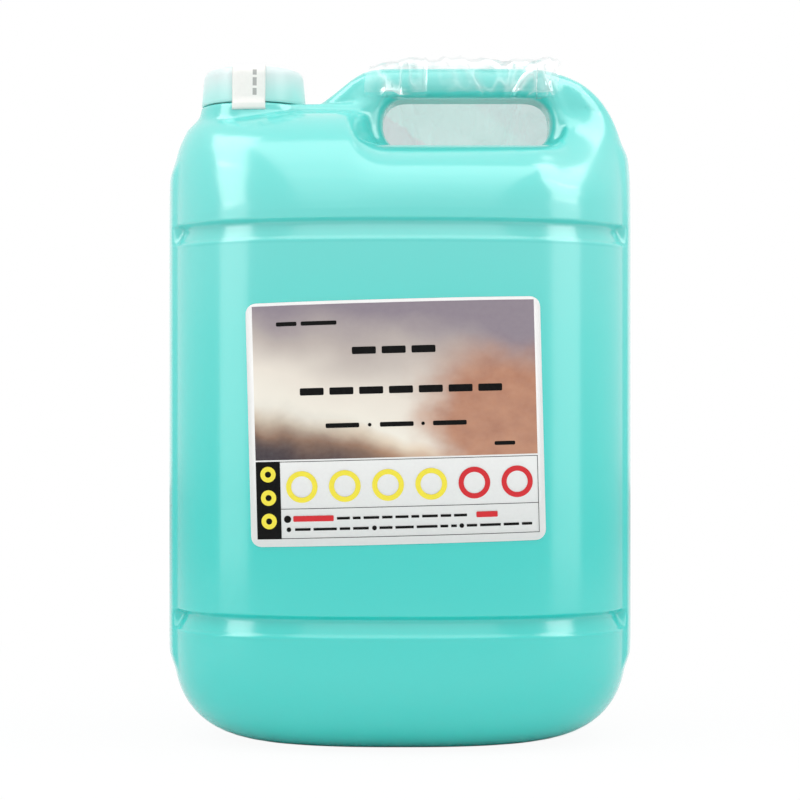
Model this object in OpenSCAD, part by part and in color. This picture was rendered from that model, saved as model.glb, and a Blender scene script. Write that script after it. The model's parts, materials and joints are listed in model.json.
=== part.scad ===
// Blow-moulded canister with a moulded-in grip, a screw cap under a paper seal,
// a paper label and a loose clear wrap round the grip bar.
// Front faces -Y, +X is to the viewer's right, +Z is up.
// Origin at the middle of the footprint, on the surface it stands on.

/* [Body] */
// Width over the raised side bands
body_w = 188; // [175:1:210]
// Depth from front to back
body_d = 130; // [115:1:150]
// Height of the top of the grip bar
body_h = 272.5; // [262:0.5:300]
// Squareness of the body seen from above, 2 is an ellipse
plan_power = 2.55; // [2.3:0.05:3.2]
// Height of the rolled bottom corner at the sides
side_roll_h = 43; // [30:1:44]
// Width of the rolled bottom corner at the sides
side_roll_w = 48; // [35:1:52]
// Height of the rolled bottom edge at the front and back
front_roll_h = 34; // [24:1:40]
// Depth of the rolled bottom edge at the front and back
front_roll_d = 33; // [25:1:38]
// Depth of the pushed-up middle of the base
push_up = 2; // [0.5:0.5:4]
// Width of the foot ring round the push-up
foot_w = 9; // [6:1:12]

/* [Side bands] */
// How far a side band stands out
band_proud = 1.5; // [1:0.5:4]
// Half the width of a side band
band_half = 25; // [22:1:28]
// Height where the side bands start
band_low = 28; // [26:1:36]
// Height from the end of the left side band to the top of the grip
left_band_drop = 38; // [32:1:44]
// Height from the end of the right side band to the top of the grip
right_band_drop = 29; // [24:1:40]

/* [Grooves] */
// Height of the lower edge of the bottom groove
low_groove_z = 44.5; // [44:0.5:60]
// Height of a groove
groove_h = 9; // [7:0.5:12]
// Depth of a groove
groove_depth = 2.8; // [1:0.1:3.5]
// Distance from the upper edge of the top groove to the top of the grip
top_groove_drop = 66; // [64:1:76]

/* [Shoulder] */
// Distance from the start of the shoulder curve to the top of the grip
shoulder_drop = 63; // [60:1:64]
// Distance from the cap's shelf to the top of the grip
shelf_drop = 15.5; // [13:0.5:19]
// Rise of the right shoulder corner
right_rise = 50.5; // [44:0.5:54]
// Run of the right shoulder corner
right_run = 42.5; // [36:0.5:46]
// Rise of the left shoulder corner, to a little above the shelf
left_rise = 37; // [34:0.5:40]
// Run of the left shoulder corner
left_run = 32.5; // [29:0.5:34]

/* [Grip] */
// Thickness of the grip from front to back
grip_d = 28; // [24:1:32]
// Height of the grip bar
bar_h = 12.5; // [11:0.5:15]
// Rounding of the grip bar's upper edges
bar_round = 8; // [5:0.5:9]
// Left end of the finger hole
hole_x0 = -7; // [-9:0.5:0]
// Right end of the finger hole
hole_x1 = 61; // [50:0.5:62]
// Height of the finger hole
hole_h = 21; // [18:0.5:22]
// Corner radius of the finger hole
hole_r = 9; // [5:0.5:9]
// Flare of the finger hole's rim to the front and back
hole_flare = 6; // [2:0.5:8]
// Flat shelf between the boss and the slope up to the grip
shelf_gap = 0.1; // [0.1:0.1:3]
// Run of that slope
slope_run = 28; // [24:0.5:30]

/* [Neck and cap] */
// Distance from the middle of the cap to the left side of the body
cap_inset = 34; // [32:0.5:36]
// Outer radius of the cap at its rim
cap_r = 21.3; // [20:0.1:22]
// Outer radius of the cap at its top
cap_top_r = 20.4; // [19:0.1:21]
// Height of the cap
cap_h = 14.6; // [12:0.1:18]
// Wall of the cap
cap_wall = 1.6; // [1.2:0.1:2.2]
// Rounding of the cap's upper edge
cap_round = 4; // [2:0.5:6]
// Outer radius of the neck
neck_r = 17.5; // [16:0.1:18]
// Thickness of the liner in the cap
liner_t = 1.2; // [0.8:0.1:2]
// Gap between the cap's rim and the shelf
rim_gap = 0.4; // [0.2:0.1:1]
// Radius of the boss under the cap
boss_r = 21.9; // [21:0.1:23]
// Height of the boss wall above the flare
boss_h = 3.6; // [3:0.1:5]
// Radius of the flare from the boss into the shoulder
boss_flare = 6; // [4:0.5:8]

/* [Seal strip] */
// Width of the paper strip over the cap
strip_w = 13.3; // [10:0.1:16]
// Thickness of the paper strip
strip_t = 0.25; // [0.15:0.05:0.5]
// Sideways place of the strip on the cap
strip_x = -0.8; // [-3:0.1:3]
// Length of each tail of the strip below the rim
tail_h = 3.2; // [2:0.1:3.4]

/* [Label] */
// Width of the label
label_w = 113.5; // [100:0.5:120]
// Height of the label
label_h = 93.8; // [80:0.1:110]
// Height of the middle of the label
label_z = 128.2; // [115:0.1:140]
// Sideways place of the middle of the label
label_x = -1.7; // [-6:0.1:6]
// Turn of the label, counter-clockwise
label_tilt = 1.5; // [-3:0.1:3]
// Thickness of the label
label_t = 0.25; // [0.15:0.05:0.5]
// Corner radius of the label
label_r = 4; // [2:0.5:8]
// Margin of bare label round the print
label_margin = 2.4; // [1:0.1:5]
// White margin above the picture
label_top_margin = 1.2; // [0.5:0.1:5]
// White margin below the print
label_low_margin = 2.9; // [1:0.1:5]
// Thickness of a printed field
print_t = 0.1; // [0.05:0.05:0.2]
// Height of the warning panel under the picture
panel_h = 30.4; // [28:0.1:36]
// Width of the black strip beside the warning panel
black_w = 9.5; // [6:0.5:14]
// Height of the row of warning marks
mark_h = 16; // [8:0.5:18]

/* [Wrap on the grip] */
// Left end of the wrap
wrap_x0 = -13; // [-14:0.5:-8]
// Right end of the wrap
wrap_x1 = 66; // [62:0.5:68]
// Space between the wrap and the grip
wrap_gap = 0.3; // [0.2:0.1:0.8]
// Thickness of the crumpled wrap on the grip's sides and underside
wrap_t = 2; // [1:0.1:3]
// Height of the crumpled wrap on top of the grip
wrap_top = 3.6; // [2:0.1:5]
// Space between the hanging flap of the wrap and the shoulder under it
flap_gap = 2; // [1:0.5:6]

/* [Hidden] */
$fn = 64;

eps = 0.01;
half_w = body_w / 2 - band_proud;
cap_x = cap_inset - body_w / 2;
slope_x = cap_x + boss_r + shelf_gap;
half_d = body_d / 2;
half_grip = grip_d / 2;
shelf_z = body_h - shelf_drop;
hole_z1 = body_h - bar_h;
hole_z0 = hole_z1 - hole_h;
shoulder_z = body_h - shoulder_drop;
top_groove_z = body_h - top_groove_drop;
// Distance over which a side band fades into the wall
band_fade = 8;
// Squareness of the rolled corners and of the grip's ends
roll_power = 2.7;
corner_power = 2.5;
grip_power = 4.5;
shoulder_power = 2.2;
left_power = 1.7;
// Half the depth of the left shoulder at its top, where the boss stands on it
left_half = 16;
// The deeper shoulders beside the finger hole step down to it round the middle of these
left_step_x = hole_x0 - 9.5;
right_step_x = hole_x1 + 4;
// Half the width of each step, and how far its ends bow towards the hole
left_step = 5.5;
right_step = 5;
step_bow = 3.5;
// Colours
mint = [0.42, 0.87, 0.82];
cap_colour = [0.78, 0.96, 0.93];
paper = [0.96, 0.96, 0.94];
clear = [0.85, 0.93, 0.92, 0.5];

function clamp01(t) = min(1, max(0, t));
function smooth(t) = let (s = clamp01(t)) s * s * (3 - 2 * s);
function mix(a, b, t) = a + (b - a) * t;
function arc(t, power) = pow(1 - pow(clamp01(t), power), 1 / power);
function sign_pow(v, power) = sign(v) * pow(abs(v), power);

// Half the width and the depth of the body below the shoulder
function low_half_w(z) =
    half_w - side_roll_w * (1 - arc((side_roll_h - z) / side_roll_h, roll_power));
function low_half_d(z) =
    half_d - front_roll_d * (1 - arc((front_roll_h - z) / front_roll_h, roll_power));

// Left and right ends of the section at a height
function right_end(z) = z < body_h - right_rise
    ? low_half_w(z)
    : half_w - right_run * (1 - arc((z - body_h + right_rise) / right_rise, corner_power));
function slope_rise(t) = 0.5 - sin(asin(1 - 2 * clamp01(t)) / 3);
left_top = shelf_z + 2;
function left_end(z) = z > shelf_z
    ? slope_x + slope_run * slope_rise((z - shelf_z) / shelf_drop)
    : z < left_top - left_rise
        ? -low_half_w(z)
        : -half_w + left_run * (1 - arc((z - left_top + left_rise) / left_rise, corner_power));

// Half the depth of the section at a height, along the grip and round the boss
bar_round_z = body_h - bar_round;
function grip_half(z) = z > bar_round_z
    ? half_grip - bar_round + bar_round * arc((z - bar_round_z) / bar_round * 0.98, 2)
    : half_grip;
function section_half(z) = z < shoulder_z
    ? low_half_d(z)
    : grip_half(z) + (half_d - half_grip)
        * arc((z - shoulder_z) / (hole_z0 + 0.5 - shoulder_z), shoulder_power);

// Share of the grip's shape at a place: 1 at the finger hole, 0 at the shoulders beside it.
// The edge of each step bows round the hole's end, and the step is wider below the hole.
hole_mid_z = (hole_z0 + hole_z1) / 2 + 1;
function step_share(away, z, half) =
    let (bow = step_bow * pow(clamp01(abs(z - hole_mid_z) / (hole_h / 2)), 2))
    let (wide = mix(half, half + 3.5, smooth((hole_z0 + 6 - z) / 16)))
    smooth((away - bow + wide) / (2 * wide));
function grip_share(x, z) = step_share(right_step_x - x, z, right_step)
    * mix(step_share(x - left_step_x, z, left_step), 1, smooth((z - shelf_z) / 4));

// The shoulder under the cap is higher and deeper than the one in front of the finger hole
function left_section_half(z) = left_half + (half_d - left_half)
    * arc((z - shoulder_z) / (shelf_z - boss_h - shoulder_z), left_power);
// The right shoulder rises past the finger hole and thins to the grip below the bar
bar_low_z = hole_z1 - 2;
function right_section_half(z) = grip_half(z)
    + (half_d - half_grip - 5) * (1 - smooth((z - shoulder_z - 4.5) / (shoulder_drop - 19)))
    + 5 * clamp01((bar_low_z - z) / (bar_low_z - shoulder_z));
function half_at(x, z) = z < shoulder_z
    ? section_half(z)
    : mix(x < 0 ? left_section_half(z) : right_section_half(z), section_half(z),
        grip_share(x, z));

// Squareness of the section at a place
function power_at(x, z) =
    mix(plan_power, grip_power, smooth((z - hole_z0 + 9) / 14) * grip_share(x, z));

// A groove has a steep upper wall, a floor that slopes out and a small lower lip
function groove_rows(z0) = [
    [z0, 0],
    [z0 + groove_h * 0.1, -groove_depth * 0.25],
    [z0 + groove_h * 0.45, -groove_depth * 0.62],
    [z0 + groove_h * 0.75, -groove_depth],
    [z0 + groove_h * 0.88, -groove_depth * 0.9],
    [z0 + groove_h, 0]];

// How far a side band stands out at a height, on the left or on the right
function band_out(z, side) =
    let (high = body_h - (side < 0 ? left_band_drop : right_band_drop))
    band_proud * smooth((z - band_low) / band_fade)
        * (1 - smooth((z - high + band_fade) / band_fade));

// Angles round the section, with a pair close together at the edge of a side band
band_angle = asin(pow(band_half / half_d, plan_power / 2));
quarter = [0, 6, 11.5, band_angle - 0.7, band_angle + 0.7, each [24 : 7 : 59], each [66 : 4 : 86]];
round_angles = concat(quarter, [90], [for (i = [len(quarter) - 1 : -1 : 1]) 180 - quarter[i]],
    [180], [for (i = [1 : len(quarter) - 1]) 180 + quarter[i]],
    [270], [for (i = [len(quarter) - 1 : -1 : 1]) 360 - quarter[i]]);

function section_point(t, z, cut) =
    let (x0 = left_end(z), x1 = right_end(z), a = (x1 - x0) / 2)
    let (on_band = abs(sin(t)) < sin(band_angle) ? 1 : 0, inset = cut * (1 - on_band))
    let (u = sign_pow(cos(t), 2 / plan_power))
    let (x = (x0 + x1) / 2 + (a + inset) * u + on_band * band_out(z, sign(u)) * sign(u))
    [x, sign(sin(t)) * (half_at(x, z) + inset) * arc(abs(u), power_at(x, z)), z];
function section(z, cut = 0) = [for (t = round_angles) section_point(t, z, cut)];

function shrunk(ring, by, z) =
    let (a = half_w - side_roll_w, b = half_d - front_roll_d)
    [for (p = ring) [p.x * (a - by) / a, p.y * (b - by) / b, z]];

low_heights = [for (t = [0.02, 0.07, 0.15, 0.26, 0.4, 0.55, 0.72, 0.88]) t * side_roll_h];
shoulder_heights = [for (t = [0, 0.14, 0.3, 0.46, 0.6, 0.72, 0.82, 0.9, 0.96, 1])
    mix(shoulder_z, hole_z0 + 0.5, t)];
shelf_heights = [for (t = [0.25, 0.5, 0.72, 0.9, 1]) mix(hole_z0 + 0.5, shelf_z, t)];
slope_heights = [for (t = [0.005, 0.05, 0.15, 0.3, 0.46]) mix(shelf_z, body_h, t)];
bar_heights = [for (t = [0.2, 0.42, 0.62, 0.8, 0.93, 1]) mix(bar_round_z, body_h, t)];

body_rings = concat(
    [shrunk(section(0), foot_w, push_up), shrunk(section(0), foot_w - push_up, 0), section(0)],
    [for (z = low_heights) section(z)],
    [for (row = groove_rows(low_groove_z)) section(row[0], row[1])],
    [section(mix(low_groove_z, top_groove_z, 0.5))],
    [for (row = groove_rows(top_groove_z - groove_h)) section(row[0], row[1])],
    [for (z = shoulder_heights) section(z)],
    [for (z = shelf_heights) section(z)],
    [for (z = slope_heights) section(z)],
    [for (z = bar_heights) section(z)]);

// A closed skin over rings that all have the same number of points
module loft(rings) {
    n = len(rings[0]);
    last = len(rings) - 1;
    points = [for (ring = rings) for (p = ring) p];
    walls = [for (r = [0 : last - 1]) for (i = [0 : n - 1]) let (j = (i + 1) % n)
        each [[r * n + i, r * n + n + j, r * n + j], [r * n + i, r * n + n + i, r * n + n + j]]];
    low_cap = [for (i = [0 : n - 1]) i];
    high_cap = [for (i = [n - 1 : -1 : 0]) last * n + i];
    polyhedron(points, concat([low_cap], walls, [high_cap]));
}

// The finger hole as seen from the front, grown by its flare at a depth
function hole_ring(y, grow) =
    let (x0 = hole_x0 - grow, x1 = hole_x1 + grow, z1 = hole_z1 + grow * 0.5, r = hole_r)
    concat(
        [for (t = [0 : 15 : 90]) [x1 - r + r * cos(t), y, z1 - r + r * sin(t)]],
        [for (t = [90 : 15 : 180]) [x0 + r + r * cos(t), y, z1 - r + r * sin(t)]],
        [for (t = [180 : 15 : 270]) [x0 + r + r * cos(t), y, hole_z0 + r + r * sin(t)]],
        [for (t = [270 : 15 : 360]) [x1 - r + r * cos(t), y, hole_z0 + r + r * sin(t)]]);
function flare(t) = hole_flare * (1 - arc(t, 2));
flare_steps = [0, 0.35, 0.6, 0.8, 0.93, 1];
flare_start = half_grip - hole_flare;
hole_rings = concat(
    [hole_ring(half_d, hole_flare)],
    [for (i = [len(flare_steps) - 1 : -1 : 0])
        hole_ring(flare_start + flare_steps[i] * hole_flare, flare(flare_steps[i]))],
    [for (t = flare_steps) hole_ring(-flare_start - t * hole_flare, flare(t))],
    [hole_ring(-half_d, hole_flare)]);

// The boss under the cap and the closed neck inside it
neck_top = shelf_z + rim_gap + cap_h - cap_wall - liner_t;
boss_low = shelf_z - boss_h - boss_flare;
module boss_and_neck() {
    flare_points = [for (t = [0 : 15 : 90])
        [boss_r + boss_flare - boss_flare * cos(t), shelf_z - boss_h - boss_flare * sin(t)]];
    translate([cap_x, 0, 0]) {
        rotate_extrude()
            polygon(concat([[0, boss_low - 4], [0, shelf_z], [boss_r, shelf_z]], flare_points,
                [[boss_r + boss_flare, boss_low - 4]]));
        translate([0, 0, shelf_z - eps]) cylinder(h = neck_top - shelf_z + eps, r = neck_r);
    }
}

module canister_body() color(mint) difference() {
    union() {
        loft(body_rings);
        boss_and_neck();
    }
    loft(hole_rings);
}

// Outline of the cap from the middle of its top to its rim, grown by a paper's thickness
cap_z = shelf_z + rim_gap;
cap_top = cap_z + cap_h;
function cap_outline(grow) = concat(
    [[0, cap_top + grow]],
    [for (t = [90 : -15 : 0]) [cap_top_r - cap_round + (cap_round + grow) * cos(t),
        cap_top - cap_round + (cap_round + grow) * sin(t)]],
    [[cap_r + grow, cap_z]]);

module screw_cap() color(cap_colour) translate([cap_x, 0, 0]) difference() {
    rotate_extrude() polygon(concat(cap_outline(0), [[0, cap_z]]));
    translate([0, 0, cap_z - eps]) cylinder(h = cap_h - cap_wall + eps, r = cap_top_r - cap_wall);
}

module cap_liner() color(paper) translate([cap_x, 0, neck_top])
    cylinder(h = liner_t, r = neck_r);

// The strip runs over the cap from front to back, and its tails lie on the boss
module seal_strip() color(paper) translate([cap_x, 0, 0]) intersection() {
    rotate_extrude()
        polygon(concat(cap_outline(strip_t), [[boss_r + strip_t, shelf_z],
            [boss_r + strip_t, shelf_z - tail_h], [boss_r, shelf_z - tail_h], [boss_r, shelf_z]],
            [for (i = [len(cap_outline(0)) - 1 : -1 : 0]) cap_outline(0)[i]]));
    translate([strip_x - strip_w / 2, -body_d, 0])
        cube([strip_w, 2 * body_d, body_h + cap_h]);
}

// Paper and print follow the curve of the front wall
function front_y(x) = -half_d * arc(abs(x) / half_w, plan_power);
module front_sheet(x0, x1, low, high) {
    count = 40;
    xs = [for (i = [0 : count]) mix(x0, x1, i / count)];
    linear_extrude(body_h)
        polygon(concat([for (x = xs) [x, front_y(x) - high]],
            [for (i = [count : -1 : 0]) [xs[i], front_y(xs[i]) - low]]));
}
// A flat shape drawn in the label's own frame, laid on the wall between two heights off it
module on_label(low, high) intersection() {
    reach = norm([label_w, label_h]) / 2;
    front_sheet(label_x - reach, label_x + reach, low, high);
    translate([label_x, 0, label_z]) rotate([90, 0, 0]) linear_extrude(body_d)
        rotate(label_tilt) children();
}
module rounded(w, h, r) {
    square([w - 2 * r, h], center = true);
    square([w, h - 2 * r], center = true);
    for (x = [-1, 1], y = [-1, 1]) translate([x * (w / 2 - r), y * (h / 2 - r)]) circle(r = r);
}
paper_low = 0.05;
paper_high = paper_low + label_t;
print_high = paper_high + print_t;
inner_w = label_w - 2 * label_margin;
inner_y0 = -label_h / 2 + label_low_margin;
picture_y0 = inner_y0 + panel_h;
picture_h = label_h / 2 - label_top_margin - picture_y0;
panel_x0 = -inner_w / 2 + black_w;
mark_pitch = (inner_w - black_w) / 6;
mark_w = mark_pitch * 0.72;
mark_y = picture_y0 - mark_h / 2 - 2.5;

module front_label() color(paper) on_label(paper_low, paper_high)
    rounded(label_w, label_h, label_r);

module label_picture() color([0.72, 0.68, 0.66]) on_label(paper_high, print_high)
    translate([-inner_w / 2, picture_y0]) square([inner_w, picture_h]);

module label_black_print() color([0.08, 0.08, 0.08]) on_label(paper_high, print_high) {
    translate([-inner_w / 2, inner_y0]) square([black_w, panel_h - 0.6]);
    for (row = [0, 1]) translate([panel_x0 + 2, inner_y0 + 3 + row * 3.4])
        square([inner_w - black_w - 6 - row * 8, 1]);
}

module warning_mark(i) translate([panel_x0 + (i + 0.5) * mark_pitch, mark_y]) difference() {
    circle(r = mark_w / 2);
    circle(r = mark_w / 2 - 2.4);
}
module label_yellow_marks() color([0.93, 0.85, 0.2]) on_label(paper_high, print_high)
    for (i = [0 : 3]) warning_mark(i);
module label_red_marks() color([0.85, 0.12, 0.12]) on_label(paper_high, print_high)
    for (i = [4, 5]) warning_mark(i);

// Section of the grip with a space all round it, as seen along the bar
module grip_section(space, top, low) {
    half = half_grip + space;
    r = bar_round + space;
    translate([-half, low]) square([2 * half, body_h + top - r - low]);
    intersection() {
        translate([-half, low]) square([2 * half, body_h + top - low]);
        union() {
            for (side = [-1, 1]) translate([side * (half - r), body_h + top - r]) circle(r = r);
            translate([r - half, low]) square([2 * (half - r), body_h + top - low]);
        }
    }
}
// The same section as a bar between two places along the grip
module along_grip(x0, x1) translate([x0, 0, 0]) rotate([90, 0, 90]) linear_extrude(x1 - x0)
    children();

// The wrap is a loose sleeve round the grip bar, with a flap that hangs behind the hole
module grip_wrap() color(clear) {
    inner = half_grip + wrap_gap;
    under_z = hole_z1 - wrap_gap - wrap_t;
    flap_low = hole_z0 + flap_gap;
    hole_in = hole_r + wrap_gap;
    joined_z = hole_z1 + wrap_t;
    along_grip(wrap_x0, wrap_x1) difference() {
        grip_section(wrap_gap + wrap_t, wrap_top, hole_z1);
        grip_section(wrap_gap, wrap_gap, hole_z1 - 1);
    }
    along_grip(hole_x0 + hole_in, hole_x1 - hole_in) {
        translate([-inner - wrap_t, under_z]) square([2 * (inner + wrap_t), wrap_t]);
        translate([-inner - wrap_t, under_z]) square([wrap_t, joined_z - under_z]);
    }
    along_grip(hole_x0 + hole_in / 2, hole_x1 - hole_in / 2)
        translate([inner, flap_low]) square([wrap_t, joined_z - flap_low]);
}

canister_body();
screw_cap();
cap_liner();
seal_strip();
front_label();
label_picture();
label_black_print();
label_yellow_marks();
label_red_marks();
grip_wrap();
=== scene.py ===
# %% [markdown]
# # A sealed canister of liquid
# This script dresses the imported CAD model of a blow-moulded canister. The CAD model says where
# every piece is and how big it is. Here each visible piece gets a finer shape and its finish:
# glossy mint plastic, a pale translucent cap, a paper seal, a printed label and a crumpled
# clear wrap on the grip. Everything is in metres, in the CAD model's own frame: +X is to the
# viewer's right, -Y is the front and +Z is up.

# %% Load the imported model
import json
import math

import bmesh
import bpy
from mathutils import Matrix, Vector, noise

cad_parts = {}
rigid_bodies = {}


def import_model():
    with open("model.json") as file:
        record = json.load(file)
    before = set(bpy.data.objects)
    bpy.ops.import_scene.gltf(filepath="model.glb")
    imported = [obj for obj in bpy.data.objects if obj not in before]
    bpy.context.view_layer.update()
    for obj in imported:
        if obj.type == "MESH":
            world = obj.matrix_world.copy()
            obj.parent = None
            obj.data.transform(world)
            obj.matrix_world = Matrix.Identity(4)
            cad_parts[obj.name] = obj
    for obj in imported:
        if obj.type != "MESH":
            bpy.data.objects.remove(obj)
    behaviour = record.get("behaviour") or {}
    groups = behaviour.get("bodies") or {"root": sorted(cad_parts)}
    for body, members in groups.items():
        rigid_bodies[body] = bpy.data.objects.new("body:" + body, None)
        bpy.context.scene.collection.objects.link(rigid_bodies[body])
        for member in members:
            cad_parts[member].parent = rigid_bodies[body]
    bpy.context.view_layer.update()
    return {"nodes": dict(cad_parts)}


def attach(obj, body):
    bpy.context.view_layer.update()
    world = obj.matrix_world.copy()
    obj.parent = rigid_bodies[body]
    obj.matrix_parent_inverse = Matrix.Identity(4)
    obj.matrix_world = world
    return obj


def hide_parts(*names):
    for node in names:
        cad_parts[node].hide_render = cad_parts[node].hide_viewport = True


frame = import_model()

MM = 0.001

# %% [markdown]
# ## Camera
# The photograph was taken with a long lens from straight in front, a little below the middle
# of the pack, so the picture is moved with a small shift instead of a tilt. That keeps the
# sides of the pack upright, as a product photographer does.

# %% Camera
LENS, SENSOR = 101.5, 36
EYE = (0, -0.927, 0.125)
SHIFT_UP = 0.0375
camera_data = bpy.data.cameras.new("camera")
camera_data.lens = LENS
camera_data.sensor_width = SENSOR
camera_data.shift_y = SHIFT_UP
camera_data.clip_start = 0.05
camera = bpy.data.objects.new("camera", camera_data)
camera.location = EYE
camera.rotation_euler = (math.radians(90), 0, 0)
bpy.context.collection.objects.link(camera)
bpy.context.scene.camera = camera
bpy.context.scene.view_settings.view_transform = "Standard"
print("camera:", LENS, "mm lens at", EYE)

# %% [markdown]
# ## Nodes written as sums
# A finish is a small program made of nodes. Written by hand, each sum takes five lines, so a
# short class stands for one output and builds the Math node when two of them are added or
# multiplied. The reflected forms let a plain number come first, as in `1 - mask`.

# %% A class for sums of sockets
class Wire:
    """One output of a node, which can be added, multiplied and compared."""

    def __init__(self, finish, socket):
        self.finish = finish
        self.socket = socket

    def sum(self, operation, *terms):
        return self.finish.node("ShaderNodeMath", {"operation": operation}, dict(enumerate(terms)))

    def __add__(self, other):
        return self.sum("ADD", self, other)

    def __sub__(self, other):
        return self.sum("SUBTRACT", self, other)

    def __rsub__(self, other):
        return self.sum("SUBTRACT", other, self)

    def __mul__(self, other):
        return self.sum("MULTIPLY", self, other)

    def __lt__(self, other):
        return self.sum("LESS_THAN", self, other)

    def __gt__(self, other):
        return self.sum("GREATER_THAN", self, other)

    __radd__ = __add__
    __rmul__ = __mul__


class Finish:
    """A material with one Principled shader, and the nodes that lead to it."""

    def __init__(self, name, **settings):
        self.material = bpy.data.materials.new(name)
        self.material.use_nodes = True
        self.tree = self.material.node_tree
        self.shader = self.tree.nodes["Principled BSDF"]
        self.output = self.tree.nodes["Material Output"]
        for socket, value in settings.items():
            self.put(self.shader.inputs[socket.replace("_", " ")], value)

    def put(self, socket, value):
        if isinstance(value, Wire):
            self.tree.links.new(value.socket, socket)
        elif socket.type == "RGBA" and len(value) == 3:
            socket.default_value = (*value, 1)
        else:
            socket.default_value = value

    def node(self, kind, settings, inputs, output=0):
        """Any node: its type, its settings, which are set first, and its sockets."""
        node = self.tree.nodes.new(kind)
        for key, value in settings.items():
            if key == "ramp":
                self.fill_ramp(node.color_ramp, value)
            else:
                setattr(node, key, value)
        for key, value in inputs.items():
            self.put(node.inputs[key], value)
        return Wire(self, node.outputs[output])

    def fill_ramp(self, ramp, stops):
        while len(ramp.elements) < len(stops):
            ramp.elements.new(1)
        for element, (position, colour) in zip(ramp.elements, stops):
            element.position = position
            element.color = (*colour, 1)

    def place(self):
        """The position on the object in metres, as three wires and a vector."""
        spot = self.node("ShaderNodeTexCoord", {}, {}, "Object")
        split = self.tree.nodes.new("ShaderNodeSeparateXYZ")
        self.tree.links.new(spot.socket, split.inputs[0])
        return [Wire(self, split.outputs[axis]) for axis in range(3)] + [spot]

    def flat_place(self):
        """The piece's own UV map, as two wires and a vector."""
        spot = self.node("ShaderNodeUVMap", {"uv_map": "flat"}, {})
        split = self.tree.nodes.new("ShaderNodeSeparateXYZ")
        self.tree.links.new(spot.socket, split.inputs[0])
        return [Wire(self, split.outputs[axis]) for axis in range(2)] + [spot]

    def noise(self, spot, scale, detail=2.0, roughness=0.5):
        sockets = {"Vector": spot, "Scale": scale, "Detail": detail, "Roughness": roughness}
        return self.node("ShaderNodeTexNoise", {}, sockets)

    def blend(self, share, first, second):
        """The first colour where the share is 0, the second where it is 1."""
        return self.node("ShaderNodeMix", {"data_type": "RGBA"}, {0: share, 6: first, 7: second}, 2)

    def fade(self, value, start, end):
        """0 before the start, 1 after the end and smooth between them."""
        sockets = {"Value": value, "From Min": start, "From Max": end}
        return self.node("ShaderNodeMapRange", {"interpolation_type": "SMOOTHSTEP"}, sockets)

    def emboss(self, height, depth):
        sockets = {"Height": height, "Strength": 1.0, "Distance": depth}
        bump = self.node("ShaderNodeBump", {}, sockets)
        self.put(self.shader.inputs["Normal"], bump)


print("sums of sockets are ready")

# %% [markdown]
# ## Turning mesh work into pieces
# Every piece is finished the same way at the end: its faces are shaded smooth, its finish is
# put on, it is hung on the body it rides on, and the CAD nodes it stands for are hidden.

# %% Helper that makes a finished piece
def add_object(name, work, finish=None):
    mesh = bpy.data.meshes.new(name)
    work.to_mesh(mesh)
    work.free()
    mesh.shade_smooth()
    piece = bpy.data.objects.new(name, mesh)
    bpy.context.collection.objects.link(piece)
    if finish:
        mesh.materials.append(finish.material)
    return piece


def hand_over(piece, slot, *nodes):
    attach(piece, "root")
    if nodes:
        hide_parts(*nodes)
    triangles = sum(len(face.vertices) - 2 for face in piece.data.polygons)
    print(piece.name, "stands for", nodes, "with", triangles, "triangles")


def settle(piece):
    """Turns a piece and its modifiers into one plain mesh."""
    depsgraph = bpy.context.evaluated_depsgraph_get()
    mesh = bpy.data.meshes.new_from_object(piece.evaluated_get(depsgraph))
    piece.modifiers.clear()
    piece.data = mesh


# %% [markdown]
# ## The shape of the canister
# A blow-moulded canister is easiest to describe by its level sections. Each one is a rounded
# rectangle, and its two ends, its half depth and its squareness change with height. The same
# sizes as in the CAD source are used, in millimetres, so that this finer skin lies where the
# solid does.

# %% Sizes of the canister in millimetres
HALF_W, HALF_D, BODY_H = 92.5, 65.0, 272.5
PLAN_POWER, ROLL_POWER, CORNER_POWER, GRIP_POWER = 2.55, 2.7, 2.5, 4.5
SIDE_ROLL_H, SIDE_ROLL_W, FRONT_ROLL_H, FRONT_ROLL_D = 43.0, 48.0, 34.0, 33.0
SHOULDER_Z, SHELF_Z = 209.5, 257.0
LEFT_TOP = SHELF_Z + 2
HOLE_X0, HOLE_X1, HOLE_Z0, HOLE_Z1, HOLE_R = -7.0, 61.0, 239.0, 260.0, 9.0
HALF_GRIP, BAR_ROUND = 14.0, 8.0
CAP_X, BOSS_R, BOSS_H, BOSS_FLARE = -60.0, 21.9, 3.6, 6.0
RIGHT_RISE, RIGHT_RUN, LEFT_RISE, LEFT_RUN, SLOPE_RUN = 50.5, 42.5, 37.0, 32.5, 28.0
print("canister in mm:", 2 * HALF_W, "wide,", 2 * HALF_D, "deep and", BODY_H, "high")


def clamp(t):
    return min(1.0, max(0.0, t))


def smooth(t):
    t = clamp(t)
    return t * t * (3 - 2 * t)


def mix(first, second, t):
    return first + (second - first) * t


def arc(t, power):
    return (1 - clamp(t) ** power) ** (1 / power)


def sign_pow(value, power):
    return math.copysign(abs(value) ** power, value)


# %% Ends and half depth of a level section
LEFT_TOP_HALF, LEFT_POWER, GRIP_SIDE_POWER = 16.0, 1.7, 2.2
RIGHT_FALL, RIGHT_FALL_Z0, RIGHT_FALL_Z1 = 46.0, 214.0, 258.0
RIGHT_EXTRA = 5.0


def low_half_w(z):
    return HALF_W - SIDE_ROLL_W * (1 - arc((SIDE_ROLL_H - z) / SIDE_ROLL_H, ROLL_POWER))


def low_half_d(z):
    return HALF_D - FRONT_ROLL_D * (1 - arc((FRONT_ROLL_H - z) / FRONT_ROLL_H, ROLL_POWER))


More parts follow.
